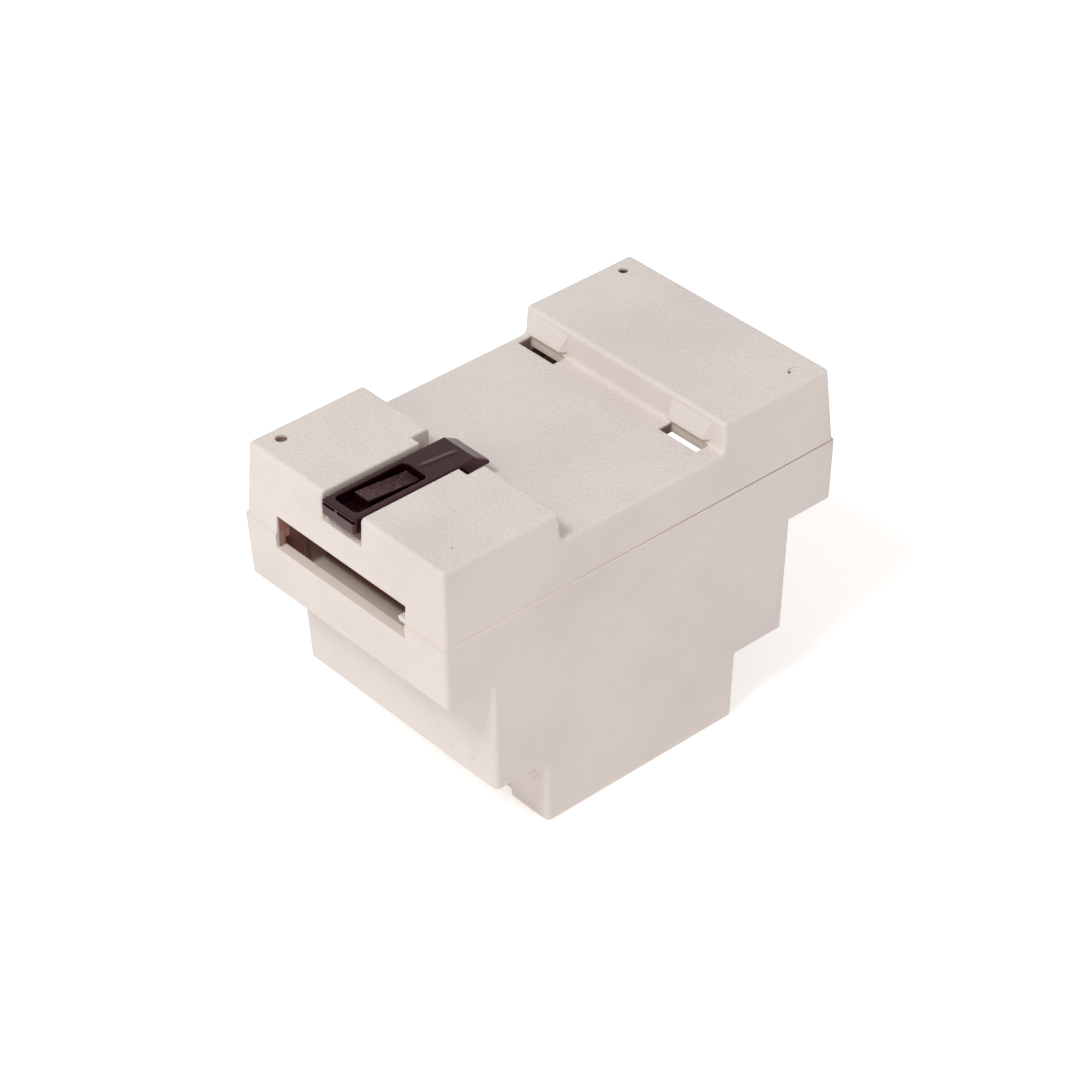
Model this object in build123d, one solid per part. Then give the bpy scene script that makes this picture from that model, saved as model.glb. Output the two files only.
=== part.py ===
from build123d import *
import os
from math import radians, tan

# Frame: X along the length, Y across the width, Z from the nose up to the rail side, in mm.
# The origin is at the middle of the nose front, which the case stands on.

# Case outline
case_length = 90.0
case_width = 53.5
nose_height = 14.0
middle_height = 24.0
shoulder_height = 12.5
rear_height = 15.0
nose_length = 45.2
shoulder_length = 10.3
front_draft = 1.9
rear_draft = 3.2
rim_step = 0.3
wall = 2.0
edge_radius = 0.9
lower_edge_bevel = 0.3

# Rail recess across the rear shell, and the gap that the rail's flange takes above its floor
rail_recess_length = 37.4
rail_recess_depth = 5.8
recess_wall_draft = 3.0
recess_corner_radius = 1.0
flange_gap = 1.2

# Hooks over their through windows, on the recess wall at +X
hook_inset = 8.3
hook_middle_y = 0.8
hook_shift = 0.35
hook_root_width = 10.2
hook_tip_width = 8.5
hook_reach = 1.15
hook_drop = 1.1
hook_tip_height = 0.3
window_width = 9.4
window_length = 3.1

# Foot channel in the block at -X
channel_y = 0.4
channel_width = 10.2
channel_depth = 5.5
channel_floor = 2.3
groove_width = 14.8
groove_height = 2.3
groove_end_gap = 4.2
head_slot_length = 4.0
trough_wall = 1.6
channel_edge_radius = 0.45

# Sliding rail foot
foot_width = 8.7
foot_cap_shift = -0.2
foot_top_drop = 0.45
foot_stand_out = 1.0
foot_lip_height = 2.8
foot_tip_reach = 3.2
foot_tip_thickness = 2.3
foot_bevel_length = 2.8
foot_bevel_height = 1.6
foot_edge_radius = 0.35
foot_corner_radius = 0.5
foot_travel = 4.0
foot_core_wall = 1.3
slide_clearance = 0.15
flange_height = 1.9
flange_side_clearance = 0.3
flange_set_back = 0.4
pocket_length = 15.4
pocket_width = 6.2
pocket_shift = 0.1
pocket_depth = 2.65
pocket_front_wall = 1.7
pocket_corner_radius = 1.0
pocket_rim_radius = 0.2
island_length = 11.1
island_width = 3.7
island_front_height = 2.6
island_back_height = 1.6
island_back_gap = 0.5
island_shift = 0.4
island_edge_radius = 0.25
lip_thickness_front = 0.25
finger_groove_height = 0.6
finger_groove_depth = 0.6
groove_nub_width = 0.5
groove_nub_y = 0.5
nose_stop_length = 2.6
nose_stop_width = 4.0
nose_stop_depth = 1.9
nose_stop_clearance = 0.3
nose_stop_gap = 1.0

# Terminal slots in both end faces, and the screw access opening in the shoulder at +X
slot_inset = 9.6
slot_y = 0.75
slot_below_split = 2.8
slot_above_split = 3.7
slot_reach = 2.0
nub_width = 1.9
nub_height = 1.1
nub_radius = 0.5
access_length = 7.4

# Locating lip of the rear shell
lip_thickness = 0.9
lip_depth = 1.5
lip_clearance = 0.15

# Corner screws, their columns and holes
screw_inset_x = 5.8
screw_inset_y = 4.45
boss_diameter = 6.4
pilot_diameter = 2.4
screw_hole_diameter = 3.2
well_diameter = 5.4
well_depth = 8.5
well_wall = 1.3
blind_skin = 0.8
near_hole_diameter = 2.2
far_hole_diameter = 1.8
screw_head_diameter = 4.8
screw_head_height = 1.9
screw_core_diameter = 2.3
screw_shank_length = 12.7
cross_width = 0.7
cross_length = 2.8
cross_depth = 1.0
web_inset = 7.95
web_thickness = 1.5
web_height = 6.0

# Ribs and board posts
rib_thickness = 1.2
rib_height = 1.5
rib_pitch = 15.0
rib_count = 4
rib_top_gap = 2.2
post_diameter = 4.6
post_x = 30.0
post_y = 13.5
post_end_below_floor = 2.0

# Front panel in the nose
panel_rim = 1.2
panel_thickness = 1.8
panel_clearance = 0.15
panel_corner_radius = 0.45
pry_width = 31.0
pry_height = 3.4
lift_slot_width = 8.0
clip_width = 5.0
clip_thickness = 1.2
clip_height = 4.6
clip_bump = 0.45
clip_bump_height = 1.2
clip_x = 12.0
clip_clearance = 0.2
panel_ledge = 0.8

# Levels and slopes worked out from the sizes above
middle_length = case_length - 2 * shoulder_length
slot_width = case_width - 2 * slot_inset
z_middle = nose_height
z_shoulder = z_middle + middle_height
z_split = z_shoulder + shoulder_height
z_top = z_split + rear_height
z_recess = z_top - rail_recess_depth
z_channel = z_top - channel_depth
z_ceiling = z_top - wall
z_recess_under = z_recess - wall
front_slope = tan(radians(front_draft))
rear_slope = tan(radians(rear_draft))
recess_slope = tan(radians(recess_wall_draft))
rear_length = case_length - 2 * rim_step
rear_width = case_width - 2 * rim_step
recess_half = rail_recess_length / 2

# How far a cutter runs past a face, how deep joined forms sink in, a small set-back and a hair's breadth
spill = 5.0
weld = 0.2
nick = 0.05
hair = 0.01


def box(x_from, x_to, y_from, y_to, z_from, z_to):
    size = (abs(x_to - x_from), abs(y_to - y_from), abs(z_to - z_from))
    middle = ((x_from + x_to) / 2, (y_from + y_to) / 2, (z_from + z_to) / 2)
    return Pos(*middle) * Box(*size)


def rod(x, y, z_from, z_to, diameter):
    return Pos(x, y, (z_from + z_to) / 2) * Cylinder(diameter / 2, abs(z_to - z_from))


# A profile in the XZ plane carried along Y, from y_from to y_to
def along_y(points, y_from, y_to):
    face = Plane.XZ * make_face(Polyline(*points, close=True))
    return Pos(0, y_to, 0) * extrude(face, amount=y_to - y_from)


# A profile in the YZ plane carried along X, from x_from to x_to
def along_x(points, x_from, x_to):
    face = Plane.YZ * make_face(Polyline(*points, close=True))
    return Pos(x_from, 0, 0) * extrude(face, amount=x_to - x_from)


def mirrored(points):
    return points + [(-x, z) for x, z in reversed(points)]


# Half length of the front shell at height z, for a step that is half_root long at z_root
def front_half(half_root, z_root, z, inset=0.0):
    return half_root - (z_root - z) * front_slope - inset


def rear_half(half_root, z, inset=0.0):
    return half_root - (z - z_split) * rear_slope - inset


# The stepped form of the front shell, or the hollow inside it when inset is the wall
def front_form(inset=0.0, over=0.0):
    z_rim = z_split + over
    z1 = z_shoulder + inset
    z2 = z_middle + inset
    z3 = 0
    half = [
        (front_half(case_length / 2, z_split, z_rim, inset), z_rim),
        (front_half(case_length / 2, z_split, z1, inset), z1),
        (front_half(middle_length / 2, z_shoulder, z1, inset), z1),
        (front_half(middle_length / 2, z_shoulder, z2, inset), z2),
        (front_half(nose_length / 2, z_middle, z2, inset), z2),
        (front_half(nose_length / 2, z_middle, z3, inset), z3),
    ]
    side = [
        (front_half(case_width / 2, z_split, z_rim, inset), z_rim),
        (front_half(case_width / 2, z_split, z3, inset), z3),
    ]
    return along_y(mirrored(half), -case_width, case_width) & along_x(mirrored(side), -case_length, case_length)


# The rear shell's form with its rail recess, or the hollow inside it when inset is the wall
def rear_form(inset=0.0, below=0.0):
    z_low = z_split - below
    z_high = z_top - inset
    z_floor = z_recess - inset
    floor_half = recess_half - rail_recess_depth * recess_slope + inset
    half = [
        (rear_half(rear_length / 2, z_low, inset), z_low),
        (rear_half(rear_length / 2, z_high, inset), z_high),
        (floor_half + (z_high - z_floor) * recess_slope, z_high),
        (floor_half, z_floor),
    ]
    side = [
        (rear_half(rear_width / 2, z_low, inset), z_low),
        (rear_half(rear_width / 2, z_high, inset), z_high),
    ]
    return along_y(mirrored(half), -case_width, case_width) & along_x(mirrored(side), -case_length, case_length)


# A profile in the XY plane carried up, from z_from to z_to
def along_z(points, z_from, z_to):
    face = make_face(Polyline(*points, close=True))
    return Pos(0, 0, z_from) * extrude(face, amount=z_to - z_from)


# Edges that run between two levels, such as the upright corners of a step
def upright_edges(shape, z_from, z_to):
    found = []
    for edge in shape.edges():
        box_of = edge.bounding_box()
        is_tall = box_of.size.Z > (z_to - z_from) / 2
        if is_tall and box_of.min.Z > z_from - hair and box_of.max.Z < z_to + hair:
            found.append(edge)
    return found


def level_edges(shape, z):
    found = []
    for edge in shape.edges():
        box_of = edge.bounding_box()
        if abs(box_of.min.Z - z) < hair and box_of.size.Z < hair:
            found.append(edge)
    return found


def is_outer_side(edge):
    mid = edge.center()
    return abs(mid.Y) > case_width / 2 - wall


def column_diameter():
    return well_diameter + 2 * well_wall


def screw_places():
    x = case_length / 2 - screw_inset_x
    y = case_width / 2 - screw_inset_y
    return [(sx * x, sy * y) for sx in (-1, 1) for sy in (-1, 1)]


# Outer skin of the rear shell, with the recess's inner corners and all outer edges rounded
def rear_skin():
    skin = rear_form()
    inner = [e for e in level_edges(skin, z_recess) if not is_outer_side(e)]
    skin = fillet(inner, recess_corner_radius)
    return fillet([e for e in skin.edges() if is_rear_edge(e)], edge_radius)


def is_rear_edge(edge):
    on_rim = edge.bounding_box().max.Z < z_split + hair
    on_top = edge.bounding_box().min.Z > z_top - hair
    return not on_rim and (on_top or is_outer_side(edge))


def channel_cut():
    low = channel_y - channel_width / 2
    high = channel_y + channel_width / 2
    groove_low = channel_y - groove_width / 2
    groove_high = channel_y + groove_width / 2
    x_end = -rear_length / 2
    x_rail = -recess_half
    x_out = x_rail + rail_recess_depth * recess_slope + recess_corner_radius
    main = box(x_end - spill, x_out, low, high, z_channel, z_top + spill)
    groove = box(x_end + groove_end_gap, x_out, groove_low, groove_high, z_channel, z_channel + groove_height)
    head = box(x_rail - head_slot_length, x_out, groove_low, groove_high, z_channel, z_top + spill)
    return main + groove + head


def round_channel_mouth(shell):
    picked = []
    for edge in level_edges(shell, z_top):
        mid = edge.center()
        inside_y = abs(mid.Y - channel_y) < groove_width / 2 + hair
        inside_x = -rear_length / 2 + edge_radius * 2 < mid.X < -recess_half - edge_radius / 2
        if inside_y and inside_x:
            picked.append(edge)
    return fillet(picked, channel_edge_radius)


# Slot in the channel floor that the foot's stop nose slides in
def stop_slot():
    x_low = stop_nose_x() - nose_stop_length / 2 - foot_travel - nose_stop_clearance
    x_high = stop_nose_x() + nose_stop_length / 2 + nose_stop_clearance
    half = nose_stop_width / 2 + nose_stop_clearance
    return box(x_low, x_high, channel_y - half, channel_y + half, z_recess_under - spill, z_channel + hair)


def stop_nose_x():
    return -recess_half - head_slot_length - nose_stop_gap - nose_stop_length / 2


def hook(y):
    x_wall = recess_half - hook_drop * recess_slope
    z_root = z_top - hook_drop
    z_low = z_recess + flange_gap
    x_tip = recess_half - rail_recess_depth * recess_slope - hook_reach
    x_deep = recess_half + wall / 2
    root = [
        (x_wall, z_root),
        (x_tip, z_low + hook_tip_height),
        (x_tip, z_low),
        (x_deep, z_low),
        (x_deep, z_root),
    ]
    wedge = along_y(root, y - hook_root_width / 2, y + hook_root_width / 2)
    y_tip = y + hook_shift
    plan = [
        (x_deep, y - hook_root_width / 2),
        (x_wall, y - hook_root_width / 2),
        (x_tip, y_tip - hook_tip_width / 2),
        (x_tip, y_tip + hook_tip_width / 2),
        (x_wall, y + hook_root_width / 2),
        (x_deep, y + hook_root_width / 2),
    ]
    return wedge & along_z(plan, z_low - spill, z_root + spill)


def hook_places():
    half = case_width / 2 - hook_inset
    return [hook_middle_y - half, hook_middle_y + half]


def window_cut(y):
    x_high = recess_half - rail_recess_depth * recess_slope
    x_low = x_high - window_length
    return box(x_low, x_high, y - window_width / 2, y + window_width / 2, z_recess_under - weld, z_recess + weld)


# Raised band inside the rear wall that reaches down into the front shell
def locating_lip():
    z_low = z_split - lip_depth
    z_high = z_split + slot_above_split
    outer = front_form(wall + lip_clearance, over=spill)
    inner = front_form(wall + lip_clearance + lip_thickness, over=spill)
    layer = box(-case_length, case_length, -case_width, case_width, z_low, z_high)
    band = (outer - inner) & layer
    below = band & box(-case_length, case_length, -case_width, case_width, z_low, z_split)
    above = band & rear_form()
    for x, y in screw_places():
        below = below - rod(x, y, z_low - spill, z_split, column_diameter() + 2 * lip_clearance)
    return below + above


def slot_cut(side):
    x_in = side * (case_length / 2 - wall - lip_thickness - slot_reach)
    x_out = side * (case_length / 2 + spill)
    z_low = z_split - slot_below_split
    z_high = z_split + slot_above_split
    return box(x_in, x_out, slot_y - slot_width / 2, slot_y + slot_width / 2, z_low, z_high)


# Small rounded stop at the lower corner of the rear shell's slot
def slot_nub(side):
    x_out = side * (rear_half(rear_length / 2, z_split + nub_height) - nick)
    x_in = side * (rear_half(rear_length / 2, z_split) - wall)
    y_end = slot_y - slot_width / 2
    block = box(x_in, x_out, y_end - weld, y_end + nub_width, z_split, z_split + nub_height)
    tips = [e for e in block.edges().filter_by(Axis.X) if e.center().Y > y_end + nub_width - hair]
    return fillet(tips, nub_radius)


def board_posts():
    posts = []
    z_end = z_recess_under - post_end_below_floor
    for sx in (-1, 1):
        for sy in (-1, 1):
            posts.append(rod(sx * post_x, sy * post_y, z_end, z_ceiling + weld, post_diameter))
    return posts


def make_rear_shell():
    skin = rear_skin()
    hollow = rear_form(wall, below=spill)
    trough_half = groove_width / 2 + trough_wall
    x_trough_end = -recess_half + weld
    trough = box(-case_length, x_trough_end, channel_y - trough_half, channel_y + trough_half,
                 z_channel - channel_floor, z_top)
    shell = skin - (hollow - trough)
    for x, y in screw_places():
        boss = rod(x, y, z_split, z_ceiling + weld, boss_diameter)
        shell = shell + (boss & rear_form(wall / 2))
    for post in board_posts():
        shell = shell + post
    shell = shell + locating_lip()
    shell = shell - channel_cut()
    shell = round_channel_mouth(shell)
    shell = shell - stop_slot()
    for y in hook_places():
        shell = shell + hook(y)
        shell = shell - window_cut(y)
    for side in (-1, 1):
        shell = shell - slot_cut(side)
        shell = shell + slot_nub(side)
    for x, y in screw_places():
        shell = shell - rod(x, y, z_split - spill, z_top - blind_skin, pilot_diameter)
        if y > 0:
            opening = far_hole_diameter if x > 0 else near_hole_diameter
            shell = shell - rod(x, y, z_top - spill, z_top + spill, opening)
    return shell


# Outer skin of the front shell with rounded corners and bevelled lower edges
def front_skin():
    skin = front_form()
    picked = upright_edges(skin, z_shoulder, z_split)
    picked += upright_edges(skin, z_middle, z_shoulder)
    picked += upright_edges(skin, 0, z_middle)
    skin = fillet(picked, edge_radius)
    lower = level_edges(skin, 0)
    for z, root in ((z_shoulder, middle_length), (z_middle, nose_length)):
        lower += [e for e in level_edges(skin, z) if abs(e.center().X) > root / 2 + hair]
    return chamfer(lower, lower_edge_bevel)


def access_cut():
    x_in = middle_length / 2
    x_out = x_in + access_length
    y_low = slot_y - slot_width / 2
    return box(x_in, x_out, y_low, y_low + slot_width, z_shoulder - spill, z_shoulder + wall + weld)


def wall_ribs():
    ribs = []
    z_low = z_middle + wall - weld
    z_high = z_split - rib_top_gap
    half = case_width / 2 - wall / 2
    limit = front_form(wall / 2)
    for i in range(rib_count):
        x = (i - (rib_count - 1) / 2) * rib_pitch
        for sy in (-1, 1):
            y_in = sy * (front_half(case_width / 2, z_split, z_low, wall) - rib_height)
            rib = box(x - rib_thickness / 2, x + rib_thickness / 2, y_in, sy * half, z_low, z_high)
            ribs.append(rib & limit)
    return ribs


# Webs that tie the screw columns to the shoulder's inner corner
def column_webs():
    webs = []
    y_in = case_width / 2 - web_inset
    x_in = middle_length / 2 - wall + weld
    for x, y in screw_places():
        sx = 1 if x > 0 else -1
        sy = 1 if y > 0 else -1
        z_low = z_shoulder + wall - weld
        webs.append(box(sx * x_in, x, sy * y_in, sy * (y_in + web_thickness), z_low, z_shoulder + wall + web_height))
    return webs


def panel_half_length(z):
    return front_half(nose_length / 2, z_middle, z, panel_rim)


def panel_half_width(z):
    return front_half(case_width / 2, z_split, z, panel_rim)


def panel_seat_cut():
    half_x = panel_half_length(0)
    half_y = panel_half_width(0)
    return box(-half_x, half_x, -half_y, half_y, -spill, panel_thickness)


def clip_places():
    return [(sx * clip_x, sy) for sx in (-1, 1) for sy in (-1, 1)]


def clip_face_y():
    return panel_half_width(0) - panel_ledge - clip_clearance


def clip_bump_z():
    return panel_thickness + clip_height - clip_bump_height


def clip_groove(x, sy):
    y_in = sy * (clip_face_y() - weld)
    y_out = sy * (clip_face_y() + clip_bump + clip_clearance)
    half = clip_width / 2 + clip_clearance
    z_low = clip_bump_z() - clip_clearance
    z_high = clip_bump_z() + clip_bump_height + clip_clearance
    return box(x - half, x + half, y_in, y_out, z_low, z_high)


def nose_hollow():
    half_x = panel_half_length(0) - panel_ledge
    half_y = panel_half_width(0) - panel_ledge
    return box(-half_x, half_x, -half_y, half_y, -spill, z_middle + wall + weld)


# Recess between the corner cheeks of the nose's end wall, with a slot to lift the panel by
def pry_cut(side):
    x_seat = side * panel_half_length(0)
    recess = box(x_seat, side * (nose_length / 2 + spill), -pry_width / 2, pry_width / 2, -spill, pry_height)
    slot = box(x_seat - side * 2 * panel_ledge, x_seat + side * panel_rim, -lift_slot_width / 2, lift_slot_width / 2,
               panel_thickness, pry_height)
    return recess + slot


def make_front_shell():
    shell = front_skin()
    above_nose = box(-case_length, case_length, -case_width, case_width, z_middle + wall, z_split + spill * 2)
    shell = shell - (front_form(wall, over=spill) & above_nose)
    shell = shell - nose_hollow()
    shell = shell - panel_seat_cut()
    for x, y in screw_places():
        column = rod(x, y, z_shoulder + wall / 2, z_split, column_diameter())
        shell = shell + (column & front_form(wall / 2))
    for rib in wall_ribs() + column_webs():
        shell = shell + rib
    for x, y in screw_places():
        shell = shell - rod(x, y, z_shoulder - spill, z_shoulder + well_depth, well_diameter)
        shell = shell - rod(x, y, z_shoulder, z_split + spill, screw_hole_diameter)
    for side in (-1, 1):
        shell = shell - slot_cut(side)
        shell = shell - pry_cut(side)
    shell = shell - access_cut()
    for x, sy in clip_places():
        shell = shell - clip_groove(x, sy)
    return shell


def make_front_panel():
    half_x = panel_half_length(0) - panel_clearance
    half_y = panel_half_width(0) - panel_clearance
    z_high = panel_thickness
    plate = box(-half_x, half_x, -half_y, half_y, 0, z_high)
    plate = fillet(plate.edges().filter_by(Axis.Z), panel_corner_radius)
    for x, sy in clip_places():
        y_out = clip_face_y()
        leg = box(x - clip_width / 2, x + clip_width / 2, sy * (y_out - clip_thickness), sy * y_out,
                  z_high - weld, z_high + clip_height)
        z_bump = clip_bump_z()
        bump = [
            (sy * (y_out - weld), z_bump),
            (sy * (y_out + clip_bump), z_bump + clip_bump_height / 2),
            (sy * (y_out - weld), z_bump + clip_bump_height),
        ]
        plate = plate + leg + along_x(bump, x - clip_width / 2, x + clip_width / 2)
    return plate


# Side outline of the foot's cap: finger lip, flat top and bevelled rail tip
def foot_side():
    x_front = -rear_half(rear_length / 2, z_top) - foot_stand_out
    x_tip = -recess_half + foot_tip_reach
    x_body = -rear_length / 2 + groove_end_gap + foot_travel + slide_clearance
    x_head = -recess_half - flange_set_back
    z_high = z_top - foot_top_drop
    z_lip = z_high - foot_lip_height
    z_low = z_channel + slide_clearance
    return [
        (x_front, z_high),
        (x_tip - foot_bevel_length, z_high),
        (x_tip, z_high - foot_bevel_height),
        (x_tip, z_high - foot_tip_thickness),
        (x_head, z_high - foot_tip_thickness),
        (x_head, z_low),
        (x_body, z_low),
        (x_body, z_lip),
        (x_front, z_lip),
    ]


def foot_middle():
    return channel_y + foot_cap_shift


def foot_top():
    return z_top - foot_top_drop


def foot_cap():
    y_mid = foot_middle()
    cap = along_y(foot_side(), y_mid - foot_width / 2, y_mid + foot_width / 2)
    x_front = foot_side()[0][0]
    corners = [e for e in cap.edges().filter_by(Axis.Z) if e.center().X < x_front + hair]
    cap = fillet(corners, foot_corner_radius)
    above = foot_top() - foot_bevel_height - hair
    picked = [e for e in cap.edges() if e.bounding_box().min.Z > above]
    return fillet(picked, foot_edge_radius)


def pocket_front():
    return foot_side()[0][0] + pocket_front_wall


def foot_pocket():
    y_mid = foot_middle() + pocket_shift
    z_floor = foot_top() - pocket_depth
    x_low = pocket_front()
    pocket = box(x_low, x_low + pocket_length, y_mid - pocket_width / 2, y_mid + pocket_width / 2,
                 z_floor, foot_top() + spill)
    return fillet(pocket.edges().filter_by(Axis.Z), pocket_corner_radius)


# Grained finger ramp in the pocket, higher at the front
def foot_island():
    y_mid = foot_middle() + island_shift
    z_floor = foot_top() - pocket_depth
    x_back = pocket_front() + pocket_length - island_back_gap
    x_low = x_back - island_length
    side = [
        (x_low, z_floor - weld),
        (x_low, z_floor + island_front_height),
        (x_back, z_floor + island_back_height),
        (x_back, z_floor - weld),
    ]
    ramp = along_y(side, y_mid - island_width / 2, y_mid + island_width / 2)
    picked = [e for e in ramp.edges() if e.bounding_box().min.Z > z_floor + island_back_height - hair]
    return fillet(picked, island_edge_radius)


# Groove under the front lip to pull the foot out by, with a small nub across it
def finger_groove():
    x_front = foot_side()[0][0]
    z_high = foot_top() - lip_thickness_front
    groove = box(x_front - spill, x_front + finger_groove_depth, -case_width, case_width,
                 z_high - finger_groove_height, z_high)
    nub = box(x_front, x_front + finger_groove_depth, groove_nub_y - groove_nub_width / 2,
              groove_nub_y + groove_nub_width / 2, z_high - finger_groove_height, z_high)
    return groove - nub


# Hollow under the pocket and under the tip, which keeps the moulding's walls even
def foot_cores():
    y_low = foot_middle() - foot_width / 2 + foot_core_wall
    y_high = foot_middle() + foot_width / 2 - foot_core_wall
    x_body = foot_side()[6][0]
    x_head = foot_side()[4][0]
    z_low = z_channel
    under_pocket = box(x_body + foot_core_wall, stop_nose_x() - nose_stop_length / 2 - foot_core_wall,
                       y_low, y_high, z_low, foot_top() - pocket_depth - foot_core_wall)
    under_tip = box(stop_nose_x() + nose_stop_length / 2 + foot_core_wall / 2, x_head - foot_core_wall / 2,
                    y_low, y_high, z_low, foot_top() - foot_core_wall)
    return under_pocket + under_tip


def foot_flange():
    half = groove_width / 2 - flange_side_clearance
    z_low = z_channel + slide_clearance
    return box(foot_side()[6][0], foot_side()[4][0], channel_y - half, channel_y + half,
               z_low, z_low + flange_height)


def foot_stop():
    z_low = z_channel + slide_clearance
    return box(stop_nose_x() - nose_stop_length / 2, stop_nose_x() + nose_stop_length / 2,
               channel_y - nose_stop_width / 2, channel_y + nose_stop_width / 2,
               z_low - nose_stop_depth, z_low + flange_height)


def make_rail_foot():
    foot = foot_cap() - foot_pocket()
    rim = [e for e in level_edges(foot, foot_top()) if is_pocket_rim(e)]
    foot = fillet(rim, pocket_rim_radius)
    foot = foot + foot_island()
    foot = foot - finger_groove()
    foot = foot + foot_flange()
    foot = foot - foot_cores()
    return foot + foot_stop()


def is_pocket_rim(edge):
    mid = edge.center()
    inside_x = pocket_front() - hair < mid.X < pocket_front() + pocket_length + hair
    inside_y = abs(mid.Y - foot_middle() - pocket_shift) < pocket_width / 2 + hair
    return inside_x and inside_y


# Blunt self-tapping screw with a cross recess in its flat head
def make_screw(x, y):
    z_seat = z_shoulder + well_depth
    z_head = z_seat - screw_head_height
    head = rod(x, y, z_head, z_seat, screw_head_diameter)
    shank = rod(x, y, z_seat - weld, z_seat + screw_shank_length, screw_core_diameter)
    cross = Pos(x, y, z_head + cross_depth / 2) * Box(cross_length, cross_width, cross_depth)
    cross = cross + Pos(x, y, z_head + cross_depth / 2) * Box(cross_width, cross_length, cross_depth)
    return (head + shank) - cross


def make_case_screws():
    return Compound(children=[make_screw(x, y).solid() for x, y in screw_places()])


def main():
    os.makedirs("parts", exist_ok=True)
    export_step(make_rear_shell(), "parts/rear_shell.step")
    export_step(make_front_shell(), "parts/front_shell.step")
    export_step(make_front_panel(), "parts/front_panel.step")
    export_step(make_rail_foot(), "parts/rail_foot.step")
    export_step(make_case_screws(), "parts/case_screws.step")


main()
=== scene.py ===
import math

import bmesh
import bpy
import numpy as np
from mathutils import Matrix, Vector


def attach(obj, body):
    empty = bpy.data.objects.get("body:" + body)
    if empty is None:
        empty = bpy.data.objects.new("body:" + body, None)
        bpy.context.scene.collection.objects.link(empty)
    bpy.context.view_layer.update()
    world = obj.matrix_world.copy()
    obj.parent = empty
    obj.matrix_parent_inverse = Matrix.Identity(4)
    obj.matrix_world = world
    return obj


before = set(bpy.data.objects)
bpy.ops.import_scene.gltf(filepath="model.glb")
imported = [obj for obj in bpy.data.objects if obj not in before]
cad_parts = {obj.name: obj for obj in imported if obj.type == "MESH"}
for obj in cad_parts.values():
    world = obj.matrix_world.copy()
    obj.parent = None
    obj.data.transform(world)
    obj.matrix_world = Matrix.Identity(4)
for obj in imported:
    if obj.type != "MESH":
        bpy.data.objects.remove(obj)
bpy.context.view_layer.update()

mm = 0.001
print("frame loaded:", ", ".join(sorted(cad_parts)))


# Adds one shader node; sockets are given by name or number, as values or as other sockets
def put(tree, kind, sockets=None, **options):
    node = tree.nodes.new("ShaderNode" + kind)
    for key, value in options.items():
        setattr(node, key, value)
    for key, value in (sockets or {}).items():
        if isinstance(value, bpy.types.NodeSocket):
            tree.links.new(value, node.inputs[key])
        else:
            node.inputs[key].default_value = value
    return node


def calc(tree, operation, a, b=0.0, c=0.0):
    return put(tree, "Math", {0: a, 1: b, 2: c}, operation=operation).outputs[0]


# Smooth ramp of a value from low to high
def ramp(tree, value, low, high, start=0.0, end=1.0):
    sockets = {"Value": value, "From Min": low, "From Max": high, "To Min": start, "To Max": end}
    return put(tree, "MapRange", sockets, interpolation_type="SMOOTHSTEP", clamp=True).outputs[0]


def blendColour(tree, factor, a, b):
    node = put(tree, "Mix", {0: factor}, data_type="RGBA")
    for socket, value in ((node.inputs[6], a), (node.inputs[7], b)):
        if isinstance(value, bpy.types.NodeSocket):
            tree.links.new(value, socket)
        else:
            socket.default_value = (*value, 1.0)
    return node.outputs[2]


def noise(tree, where, scale, detail=2.0, roughness=0.6):
    sockets = {"Vector": where, "Scale": scale, "Detail": detail, "Roughness": roughness}
    return put(tree, "TexNoise", sockets).outputs["Fac"]


def splitAxes(tree, vector):
    return put(tree, "SeparateXYZ", {0: vector}).outputs


# A new material with its Principled shader, and object coordinates in millimetres
def startMaterial(name):
    material = bpy.data.materials.new(name)
    material.use_nodes = True
    tree = material.node_tree
    place = put(tree, "TexCoord").outputs["Object"]
    where = put(tree, "VectorMath", {0: place, "Scale": 1 / mm}, operation="SCALE").outputs[0]
    return material, tree, tree.nodes["Principled BSDF"], where


# 1 on faces that look up; limits are the upward share of the normal at which that starts and is full
def facingUp(tree, limits):
    return ramp(tree, splitAxes(tree, put(tree, "TexCoord").outputs["Normal"])["Z"], *limits)


# 1 inside a box in millimetres, 0 outside it; the soft edge has one width, or one for each axis
def insideBox(tree, where, low, high, edge=0.02):
    axes = splitAxes(tree, where)
    halves = [width / 2 for width in (edge if isinstance(edge, tuple) else (edge,) * 3)]
    result = 1.0
    for axis, first, last, half in zip("XYZ", low, high, halves):
        above = ramp(tree, axes[axis], first - half, first + half)
        below = ramp(tree, axes[axis], last + half, last - half)
        result = calc(tree, "MULTIPLY", result, calc(tree, "MULTIPLY", above, below))
    return result


# How near a point is to a centre: 1 in the middle, 0 from radius outwards
def spot(tree, where, centre, radius):
    distance = put(tree, "VectorMath", {0: where, 1: centre}, operation="DISTANCE").outputs["Value"]
    return ramp(tree, distance, radius, 0.0)


viewpoint = {
    "azimuth": -40.5488,      # degrees, 0 looks along +Y
    "elevation": 36.4034,
    "roll": -1.2505,
    "distance": 627.235,      # mm
    "aimHeight": 32.5,
    "aimRight": -0.9117,
    "aimUp": 3.2879,
    "lens": 118.235,          # mm
    "sensor": 36.0,           # mm wide
    "clip": (0.01, 20.0),     # m
}


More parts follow.
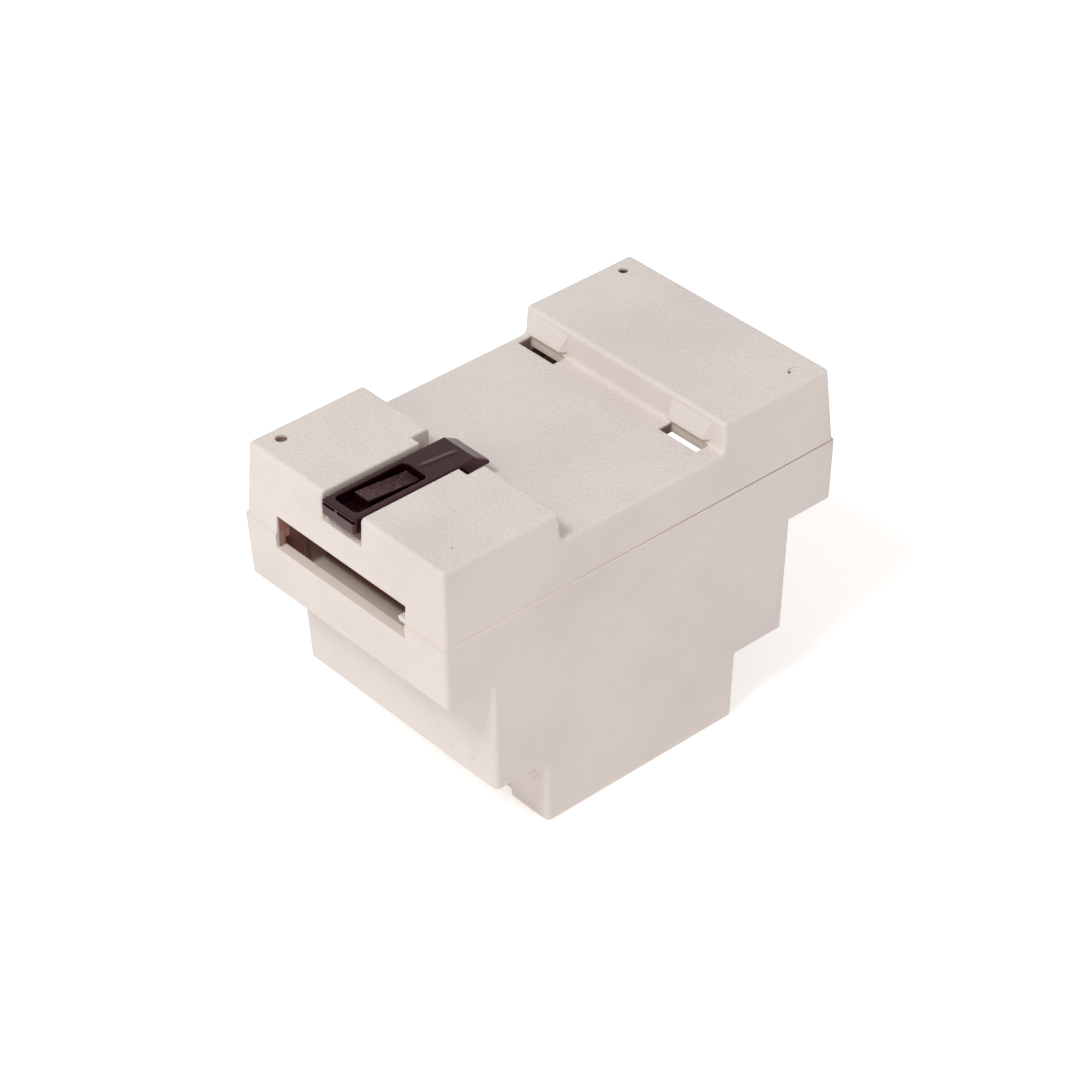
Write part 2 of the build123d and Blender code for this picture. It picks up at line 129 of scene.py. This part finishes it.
def makeCamera(v):
    azimuth, elevation, roll = (math.radians(v[k]) for k in ("azimuth", "elevation", "roll"))
    level = math.cos(elevation)
    back = Vector((math.sin(azimuth) * level, -math.cos(azimuth) * level, math.sin(elevation)))
    right = (-back).cross(Vector((0, 0, 1))).normalized()
    up = right.cross(-back)
    turnedRight = math.cos(roll) * right + math.sin(roll) * up
    turnedUp = -math.sin(roll) * right + math.cos(roll) * up
    aim = Vector((0, 0, v["aimHeight"])) + v["aimRight"] * turnedRight + v["aimUp"] * turnedUp
    place = (aim + v["distance"] * back) * mm
    data = bpy.data.cameras.new("photoCamera")
    data.sensor_width = v["sensor"]
    data.lens = v["lens"]
    data.clip_start, data.clip_end = v["clip"]
    camera = bpy.data.objects.new("photoCamera", data)
    turn = Matrix((turnedRight, turnedUp, back)).transposed().to_4x4()
    camera.matrix_world = Matrix.Translation(place) @ turn
    bpy.context.scene.collection.objects.link(camera)
    bpy.context.scene.camera = camera


makeCamera(viewpoint)
bpy.context.scene.view_settings.view_transform = "Standard"

studio = {
    "worldColour": (1.0, 0.975, 0.965),
    "worldStrength": 0.61,
    # what gloss and metal see: white at the horizon, dimmer overhead
    "glossHigh": 0.62,
    "glossFade": (0.15, 0.6),     # upward share of a ray where the dimming starts and is full
    # name: place in m, power in W, width in m, colour
    "lamps": {
        "keyLamp": ((-0.78, -0.18, 1.16), 7.4, 0.36, (0.985, 1.0, 0.98)),
        "sideLamp": ((-1.31, -0.42, 0.18), 1.35, 0.6, (0.88, 1.0, 0.96)),
    },
    "lampAim": (0.0, 0.0, 0.03),
    "floorColour": (0.95, 0.935, 0.925),
    "floorLift": 0.43,            # added only for the rays that see the background, so it reads white
    "floorHalf": 1.5,             # m
    "floorHeight": -0.0001,       # m, just clear of the nose
}


# 1 for rays that see the white background, which are the camera's and those of gloss and glass,
# and 1 for the rays of gloss alone
def backgroundRays(tree):
    path = put(tree, "LightPath").outputs
    seen = calc(tree, "MAXIMUM", path["Is Camera Ray"], path["Is Transmission Ray"])
    return calc(tree, "MAXIMUM", seen, path["Is Glossy Ray"]), path["Is Glossy Ray"]


# White to the rays that see the background, a plain soft light to everything else
def makeWorld(s):
    world = bpy.data.worlds.new("studioWorld")
    bpy.context.scene.world = world
    world.use_nodes = True
    tree = world.node_tree
    background = tree.nodes["Background"]
    seen, glossy = backgroundRays(tree)
    tree.links.new(blendColour(tree, seen, s["worldColour"], (1, 1, 1)), background.inputs["Color"])
    height = splitAxes(tree, put(tree, "TexCoord").outputs["Object"])["Z"]
    dimmer = calc(tree, "MULTIPLY", glossy, ramp(tree, height, *s["glossFade"], 0.0, 1 - s["glossHigh"]))
    shown = calc(tree, "SUBTRACT", 1.0, dimmer)
    strength = put(tree, "Mix", {0: seen, 2: s["worldStrength"], 3: shown}, data_type="FLOAT").outputs[0]
    tree.links.new(strength, background.inputs["Strength"])


def makeLamps(s):
    for name, (place, power, width, colour) in s["lamps"].items():
        data = bpy.data.lights.new(name, "AREA")
        data.shape = "DISK"
        data.size = width
        data.energy = power
        data.color = colour
        lamp = bpy.data.objects.new(name, data)
        lamp.location = place
        toward = Vector(s["lampAim"]) - Vector(place)
        lamp.rotation_euler = toward.to_track_quat("-Z", "Y").to_euler()
        bpy.context.scene.collection.objects.link(lamp)


# One square, diffuse, so that it keeps the object's shadow
def makeFloor(s):
    half, height = s["floorHalf"], s["floorHeight"]
    corners = [(x * half, y * half, height) for x, y in ((-1, -1), (1, -1), (1, 1), (-1, 1))]
    mesh = bpy.data.meshes.new("studioFloor")
    mesh.from_pydata(corners, [], [(0, 1, 2, 3)])
    floor = bpy.data.objects.new("studioFloor", mesh)
    bpy.context.scene.collection.objects.link(floor)
    material = bpy.data.materials.new("paleFloor")
    material.use_nodes = True
    tree = material.node_tree
    tree.nodes.remove(tree.nodes["Principled BSDF"])
    seen = backgroundRays(tree)[0]
    lit = put(tree, "BsdfDiffuse", {"Color": (*s["floorColour"], 1)})
    lift = put(tree, "Emission", {"Strength": calc(tree, "MULTIPLY", seen, s["floorLift"])})
    both = put(tree, "AddShader", {0: lit.outputs[0], 1: lift.outputs[0]})
    tree.links.new(both.outputs[0], tree.nodes["Material Output"].inputs["Surface"])
    mesh.materials.append(material)


makeWorld(studio)
makeLamps(studio)
makeFloor(studio)
print("camera, lamps and floor set")


# Lengths in mm, scales per mm; a range is the pair of values between which an effect goes from none to full
creamPlastic = {
    "colour": (0.785, 0.714, 0.672),
    "coolColour": (0.735, 0.656, 0.634),    # soft blotches
    "blotchSize": 26.0,
    "blotchRange": (0.42, 0.70),
    # painted light: the gaps that ambient occlusion finds, the narrow ones most, are painted warmer and
    # lighter, standing in for light that passes through the plastic
    "paintedGapLight": (0.90, 0.800, 0.735),
    "paintedDeepGapLight": (0.97, 0.750, 0.650),
    "paintedGapReach": 4.0,
    "paintedGapRange": (0.38, 0.68),
    "paintedDeepGapRange": (0.12, 0.46),
    "grainSize": 0.42,
    "pitSize": 0.75,
    "pitSoftness": 0.6,
    "pitShare": 0.6,                        # how much the pits add to the fine grain
    "grainDepth": 0.22,
    "topGrain": 0.95,                       # bump strength on the spark-eroded top faces
    "topRange": (0.80, 0.98),               # upward share of the normal there
    "grainFrom": 57.5,                      # and only on those above this height
    "sideGrain": 0.14,
    "roughness": (0.42, 0.58),
    "hazeScale": 0.35,
    "hazeRange": (0.3, 0.7),
    "specular": 0.42,
    "edgeRadius": 0.16,                     # worn edge where the CAD edge is sharp
    "speckSpacing": 5.0,
    "speckRadius": 0.11,
    "speckRange": (0.72, 0.75),             # only cells whose random number is above this have one
    "speckColour": (0.30, 0.24, 0.20),
    # faint grey patchy marks: centre, radius, strength; the third is painted shade
    "smudgesAndPaintedShade": [
        ((-34.0, -19.6, 17.9), 1.7, 0.50),
        ((-34.0, -14.4, 17.0), 2.4, 0.30),
        # painted shade: the speckled shadow on the nose cheek under the middle tier
        ((-22.3, -22.0, 9.4), 2.6, 0.75),
        ((-32.0, -25.6, 14.6), 2.4, 0.45),
    ],
    "smudgeAndShadeColour": (0.42, 0.38, 0.36),
    "smudgeAndShadeScale": 1.3,
    "smudgeAndShadeRange": (0.46, 0.66),
    "dot": ((-38.04, -21.2, 65.5), 0.33),   # burn mark at the gate: centre, radius
    "dotColour": (0.22, 0.19, 0.18),
    # painted shade: boxes that hold faces inside the case, painted darker for the shade there: lowest and
    # highest corner, share of the painted shade, soft edge
    "inside": [
        ((-33.2, -25.0, 15.2), (33.2, 25.0, 40.4), 1.0, 0.2),         # nose and middle
        ((-34.3, -25.0, 39.4), (42.6, 25.0, 57.1), 1.0, 1.2),         # shoulder and rear shell
        ((-42.7, 17.98, 40.4), (-39.0, 24.6, 57.1), 1.0, 0.2),        # beside the slot, +Y side
        ((-40.2, 18.05, 40.4), (-34.0, 24.6, 57.1), 0.78, 0.6),
        ((-42.4, -24.6, 40.4), (-34.3, -16.5, 57.1), 0.75, 0.2),      # beside the slot, -Y side
        ((20.8, -24.6, 57.0), (42.4, 24.6, 64.6), 1.0, 0.2),          # far block
        ((-44.2, 17.7, 50.5), (-41.6, 18.1, 54.3), 1.0, 0.1),         # the slot's end face, above the split
        ((-44.3, 17.7, 47.5), (-41.6, 18.1, 50.5), 0.86, 0.1),        # and below it
        ((14.6, 23.7, 57.0), (18.3, 24.3, 59.5), 0.92, 0.8),          # side walls of the windows
        ((14.6, -13.2, 57.0), (18.3, -12.7, 59.5), 0.92, 0.8),
    ],
    "paintedSlotShade": (0.40, 0.180, 0.135),       # painted shade, seen through the terminal slot
    "paintedWindowShade": (0.150, 0.048, 0.032),    # painted shade, seen through the windows under the hooks
    "paintedShadeRange": (-18.0, 4.0),              # from the first to the second, along X
    # painted light and shade: some faces painted lighter, some darker, for the light they get: lowest and
    # highest corner, colour, strength, soft edge
    "paintedLightAndShade": [
        ((-40.6, 20.9, 50.0), (-37.8, 23.7, 65.1), (0.50, 0.37, 0.31), 1.0, 0.4),       # painted shade in the corner holes
        ((37.8, 20.9, 50.0), (40.6, 23.7, 65.1), (0.30, 0.21, 0.17), 1.0, 0.4),
        ((-42.6, -24.0, 39.9), (-34.6, 18.2, 40.1), (1.0, 0.84, 0.72), 1.0, 0.1),       # painted light on the shoulder floor
        ((-44.9, -18.0, 47.55), (-42.6, 18.0, 47.85), (0.88, 0.765, 0.69), 1.0, 0.1),   # painted light on the sill of the slot
        ((18.3, 14.4, 57.2), (18.6, 24.1, 59.9), (1.0, 0.88, 0.78), 1.0, 0.1),          # painted light on the wall under the hooks
        ((18.3, -22.5, 57.2), (18.6, -12.9, 59.9), (1.0, 0.88, 0.78), 1.0, 0.1),
        ((0.0, -27.0, 50.57), (90.0, -25.6, 50.74), (0.17, 0.105, 0.08), 0.9, (50.0, 0.04, 0.04)),    # painted shadow in the seam between the shells
    ],
}


# The base colour with its soft blotches, and painted light: warmer and lighter in the gaps that ambient
# occlusion finds
def creamWithPaintedGapLight(p, tree, where):
    blotch = noise(tree, where, 1 / p["blotchSize"], detail=3.0, roughness=0.55)
    colour = blendColour(tree, ramp(tree, blotch, *p["blotchRange"]), p["colour"], p["coolColour"])
    # painted light: ambient occlusion picks the gaps that are painted warmer and lighter
    openness = put(tree, "AmbientOcclusion", {"Distance": p["paintedGapReach"] * mm}, samples=8).outputs["AO"]
    gapLight = blendColour(tree, ramp(tree, openness, *p["paintedDeepGapRange"]), p["paintedDeepGapLight"], p["paintedGapLight"])
    return blendColour(tree, ramp(tree, openness, *p["paintedGapRange"]), gapLight, colour)


# Painted light and shade on the listed faces, then painted shade on what shows inside the case
def paintLightAndShadeInside(p, tree, where, colour):
    for low, high, shade, strength, edge in p["paintedLightAndShade"]:
        box = insideBox(tree, where, low, high, edge)
        colour = blendColour(tree, calc(tree, "MULTIPLY", box, strength), colour, shade)
    inside = 0.0
    for low, high, share, edge in p["inside"]:
        box = insideBox(tree, where, low, high, edge)
        inside = calc(tree, "MAXIMUM", inside, calc(tree, "MULTIPLY", box, share))
    along = splitAxes(tree, where)["X"]
    insideShade = blendColour(tree, ramp(tree, along, *p["paintedShadeRange"]), p["paintedSlotShade"], p["paintedWindowShade"])
    return blendColour(tree, inside, colour, insideShade)


# Dark specks in the middle of a few Voronoi cells, patchy grey marks, one of them painted shade, and the
# dot at the gate
def addMarks(p, tree, where, colour):
    cell = put(tree, "TexVoronoi", {"Vector": where, "Scale": 1 / p["speckSpacing"]}).outputs
    near = ramp(tree, cell["Distance"], p["speckRadius"] / p["speckSpacing"], 0.0)
    chosen = ramp(tree, splitAxes(tree, cell["Color"])["X"], *p["speckRange"])
    colour = blendColour(tree, calc(tree, "MULTIPLY", near, chosen), colour, p["speckColour"])
    patches = ramp(tree, noise(tree, where, p["smudgeAndShadeScale"], detail=4.0, roughness=0.7), *p["smudgeAndShadeRange"])
    for centre, radius, strength in p["smudgesAndPaintedShade"]:
        mark = calc(tree, "MULTIPLY", spot(tree, where, centre, radius), patches)
        colour = blendColour(tree, calc(tree, "MULTIPLY", mark, strength), colour, p["smudgeAndShadeColour"])
    return blendColour(tree, spot(tree, where, *p["dot"]), colour, p["dotColour"])


# Fine noise with shallow pits, strong on the high faces that look up, over rounded edges
def creamGrain(p, tree, where):
    fine = noise(tree, where, 1 / p["grainSize"])
    sockets = {"Vector": where, "Scale": 1 / p["pitSize"], "Smoothness": p["pitSoftness"]}
    pits = put(tree, "TexVoronoi", sockets, feature="SMOOTH_F1").outputs["Distance"]
    height = calc(tree, "MULTIPLY_ADD", pits, p["pitShare"], fine)
    high = calc(tree, "GREATER_THAN", splitAxes(tree, where)["Z"], p["grainFrom"])
    eroded = calc(tree, "MULTIPLY", facingUp(tree, p["topRange"]), high)
    strength = ramp(tree, eroded, 0.0, 1.0, p["sideGrain"], p["topGrain"])
    rounded = put(tree, "Bevel", {"Radius": p["edgeRadius"] * mm}, samples=6).outputs[0]
    return put(tree, "Bump", {"Strength": strength, "Distance": p["grainDepth"] * mm, "Height": height,
                              "Normal": rounded}).outputs[0]


def makeCream(p):
    material, tree, shader, where = startMaterial("creamPlastic")
    colour = paintLightAndShadeInside(p, tree, where, creamWithPaintedGapLight(p, tree, where))
    tree.links.new(addMarks(p, tree, where, colour), shader.inputs["Base Color"])
    tree.links.new(creamGrain(p, tree, where), shader.inputs["Normal"])
    haze = noise(tree, where, p["hazeScale"], detail=3.0)
    tree.links.new(ramp(tree, haze, *p["hazeRange"], *p["roughness"]), shader.inputs["Roughness"])
    shader.inputs["Specular IOR Level"].default_value = p["specular"]
    return material


footPlastic = {
    "colour": (0.010, 0.002, 0.003),
    "padPaintedShadeAndSparkle": ((0.005, 0.001, 0.001), (0.170, 0.085, 0.098)),    # painted shade in the hollows and painted sparkle on the tips of its grain
    "sheenTint": (1.0, 0.46, 0.53),         # warm tone of its reflections
    "specular": 0.75,
    "roughness": (0.16, 0.26),
    "hazeScale": 0.5,
    "hazeRange": (0.35, 0.75),
    "padRoughness": 0.30,
    "padLow": (-39.9, -1.60, 63.5),         # box of the grained island's top, mm
    "padHigh": (-27.9, 2.80, 66.0),
    "padFacing": (0.75, 0.95),
    "padGrainSize": 0.34,
    "padGrainRange": (0.50, 0.66),
    "padGrainDepth": 0.52,
    "edgeRadius": 0.24,
    "creaseStart": (-27.6, 0.57),           # fine ridge left by the sink behind the pocket, mm
    "creaseEnd": (-18.6, -0.42),
    "creaseFade": 2.0,
    "creaseWidth": 0.85,
    "creaseRise": 0.13,
}


# The height of the crease: a bell across the line y = y0 + slope (x - x0), fading at both ends
def creaseHeight(p, tree, where):
    (x0, y0), (x1, y1) = p["creaseStart"], p["creaseEnd"]
    axes = splitAxes(tree, where)
    line = calc(tree, "MULTIPLY_ADD", calc(tree, "SUBTRACT", axes["X"], x0), (y1 - y0) / (x1 - x0), y0)
    across = calc(tree, "ABSOLUTE", calc(tree, "SUBTRACT", axes["Y"], line))
    fadeIn = ramp(tree, axes["X"], x0, x0 + p["creaseFade"])
    fadeOut = ramp(tree, axes["X"], x1, x1 - p["creaseFade"])
    bell = ramp(tree, across, p["creaseWidth"], 0.0)
    return calc(tree, "MULTIPLY", bell, calc(tree, "MULTIPLY", fadeIn, fadeOut))


def makeFootPlastic(p):
    material, tree, shader, where = startMaterial("footPlastic")
    island = insideBox(tree, where, p["padLow"], p["padHigh"])
    pad = calc(tree, "MULTIPLY", island, facingUp(tree, p["padFacing"]))
    grain = noise(tree, where, 1 / p["padGrainSize"])
    # painted shade in the grain's hollows and painted sparkle on its tips
    padShadedSparkle = blendColour(tree, ramp(tree, grain, *p["padGrainRange"]), *p["padPaintedShadeAndSparkle"])
    tree.links.new(blendColour(tree, pad, p["colour"], padShadedSparkle), shader.inputs["Base Color"])
    haze = noise(tree, where, p["hazeScale"], detail=3.0)
    gloss = ramp(tree, haze, *p["hazeRange"], *p["roughness"])
    rough = calc(tree, "MAXIMUM", gloss, calc(tree, "MULTIPLY", pad, p["padRoughness"]))
    tree.links.new(rough, shader.inputs["Roughness"])
    rounded = put(tree, "Bevel", {"Radius": p["edgeRadius"] * mm}, samples=6).outputs[0]
    grained = put(tree, "Bump", {"Strength": pad, "Distance": p["padGrainDepth"] * mm, "Height": grain,
                                 "Normal": rounded}).outputs[0]
    creased = put(tree, "Bump", {"Strength": 1.0, "Distance": p["creaseRise"] * mm,
                                 "Height": creaseHeight(p, tree, where), "Normal": grained}).outputs[0]
    tree.links.new(creased, shader.inputs["Normal"])
    shader.inputs["Specular IOR Level"].default_value = p["specular"]
    shader.inputs["Specular Tint"].default_value = (*p["sheenTint"], 1)
    return material


screwSteel = {
    "colour": (0.62, 0.60, 0.57),
    "roughness": (0.22, 0.38),
    "brushSize": 0.12,      # mm
    "brushRange": (0.3, 0.7),
    "brushDepth": 0.02,     # mm
    "brushStrength": 0.25,
}


def makeSteel(p):
    material, tree, shader, where = startMaterial("screwSteel")
    shader.inputs["Base Color"].default_value = (*p["colour"], 1)
    shader.inputs["Metallic"].default_value = 1.0
    brushed = noise(tree, where, 1 / p["brushSize"], detail=3.0, roughness=0.7)
    tree.links.new(ramp(tree, brushed, *p["brushRange"], *p["roughness"]), shader.inputs["Roughness"])
    bump = put(tree, "Bump", {"Strength": p["brushStrength"], "Distance": p["brushDepth"] * mm,
                              "Height": brushed}).outputs[0]
    tree.links.new(bump, shader.inputs["Normal"])
    return material


cream = makeCream(creamPlastic)
black = makeFootPlastic(footPlastic)
steel = makeSteel(screwSteel)
print("plastics and steel mixed")


# A CAD node keeps its mesh and takes a finished material in each of its slots
def dress(part, material):
    if not part.material_slots:
        part.data.materials.append(material)
    for place in part.material_slots:
        place.material = material


for node, material in (("rear_shell", cream), ("front_shell", cream), ("front_panel", cream),
                       ("rail_foot", black), ("case_screws", steel)):
    dress(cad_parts[node], material)
print("CAD nodes dressed")


# A closed mesh from rings of points in mm; a ring that has shrunk to a point becomes a pole
def ringObject(name, points):
    rings, sides = points.shape[:2]
    index = np.arange(rings * sides).reshape(rings, sides)
    index = np.hstack([index, index[:, :1]])
    quads = np.stack([index[:-1, :-1], index[1:, :-1], index[1:, 1:], index[:-1, 1:]], axis=-1)
    quads = quads.reshape(-1, 4)
    mesh = bpy.data.meshes.new(name)
    mesh.vertices.add(rings * sides)
    mesh.vertices.foreach_set("co", (points * mm).astype(np.float32).ravel())
    mesh.loops.add(quads.size)
    mesh.loops.foreach_set("vertex_index", quads.astype(np.int32).ravel())
    mesh.polygons.add(len(quads))
    mesh.polygons.foreach_set("loop_start", np.arange(0, quads.size, 4, dtype=np.int32))
    mesh.polygons.foreach_set("use_smooth", np.ones(len(quads), dtype=bool))
    mesh.update(calc_edges=True)
    weldDistance = 0.0001 * mm
    solid = bmesh.new()
    solid.from_mesh(mesh)
    bmesh.ops.remove_doubles(solid, verts=solid.verts, dist=weldDistance)
    solid.to_mesh(mesh)
    solid.free()
    piece = bpy.data.objects.new(name, mesh)
    bpy.context.scene.collection.objects.link(piece)
    return piece


def finishPiece(piece, body, material):
    piece.data.materials.append(material)
    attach(piece, body)


# What a screw has left on the skin over the closed corner hole, with painted shade in its split and beside
# its step; lengths in mm, angles in degrees
witnessMarks = {
    "centre": (38.9, -22.45),
    "topHeight": 65.5,
    "sunk": 0.02,           # how far the hidden underside starts below the top
    "steps": 61,            # along a mark
    "sides": 16,            # round its section
    # name: radius of the arc, its two angles, width, rise, power that blunts the ends
    "marks": {
        "screwWitnessArc": (1.15, (-12.0, 138.0), 0.36, 0.15, 4),
        "screwWitnessSlitShade": (1.21, (116.0, 168.0), 0.72, 0.012, 2),    # dark sheet painted as the shade in the gap where the skin has split
        "screwWitnessShadowLine": (1.41, (-5.0, 150.0), 0.18, 0.012, 2),     # dark line painted as the shadow beside the arc's step
    },
}


# A low ridge along an arc: the section is half an ellipse above the base and a shallow one sunk below it,
# and its width and rise follow (1 - (2t - 1)^power)^(1/2) along it, so that both ends taper to a point
def ridgeAlongArc(name, p, radius, angles, width, rise, power):
    t = np.linspace(0, 1, p["steps"])[:, None]
    s = np.linspace(0, 2 * math.pi, p["sides"], endpoint=False)[None, :]
    angle = np.radians(angles[0] + (angles[1] - angles[0]) * t)
    taper = np.sqrt(np.clip(1 - (2 * t - 1) ** power, 0, 1))
    across = radius + 0.5 * width * taper * np.cos(s)
    reach = np.where(np.sin(s) > 0, rise + p["sunk"], p["sunk"])
    height = p["topHeight"] - p["sunk"] + reach * taper * np.sin(s)
    x0, y0 = p["centre"]
    points = np.stack([x0 + across * np.cos(angle), y0 + across * np.sin(angle), height], axis=-1)
    return ringObject(name, points)


# Painted shade: the dark tone of the slit and of the shadow line beside the arc
paintedSplitShade = {
    "colours": ((0.075, 0.050, 0.038), (0.16, 0.12, 0.095)),    # darker and lighter, mixed by noise
    "mottleScale": 3.0,       # per mm
    "mottleRange": (0.35, 0.75),
    "roughness": 0.85,
}


def makePaintedSplitShade(p):
    material, tree, shader, where = startMaterial("splitShadow")
    mottle = noise(tree, where, p["mottleScale"], detail=3.0)
    mottled = blendColour(tree, ramp(tree, mottle, *p["mottleRange"]), *p["colours"])
    tree.links.new(mottled, shader.inputs["Base Color"])
    shader.inputs["Roughness"].default_value = p["roughness"]
    return material


splitShade = makePaintedSplitShade(paintedSplitShade)
markFinish = {"screwWitnessArc": cream, "screwWitnessSlitShade": splitShade, "screwWitnessShadowLine": splitShade}
for name, shape in witnessMarks["marks"].items():
    finishPiece(ridgeAlongArc(name, witnessMarks, *shape), "case", markFinish[name])
print("witness marks made")
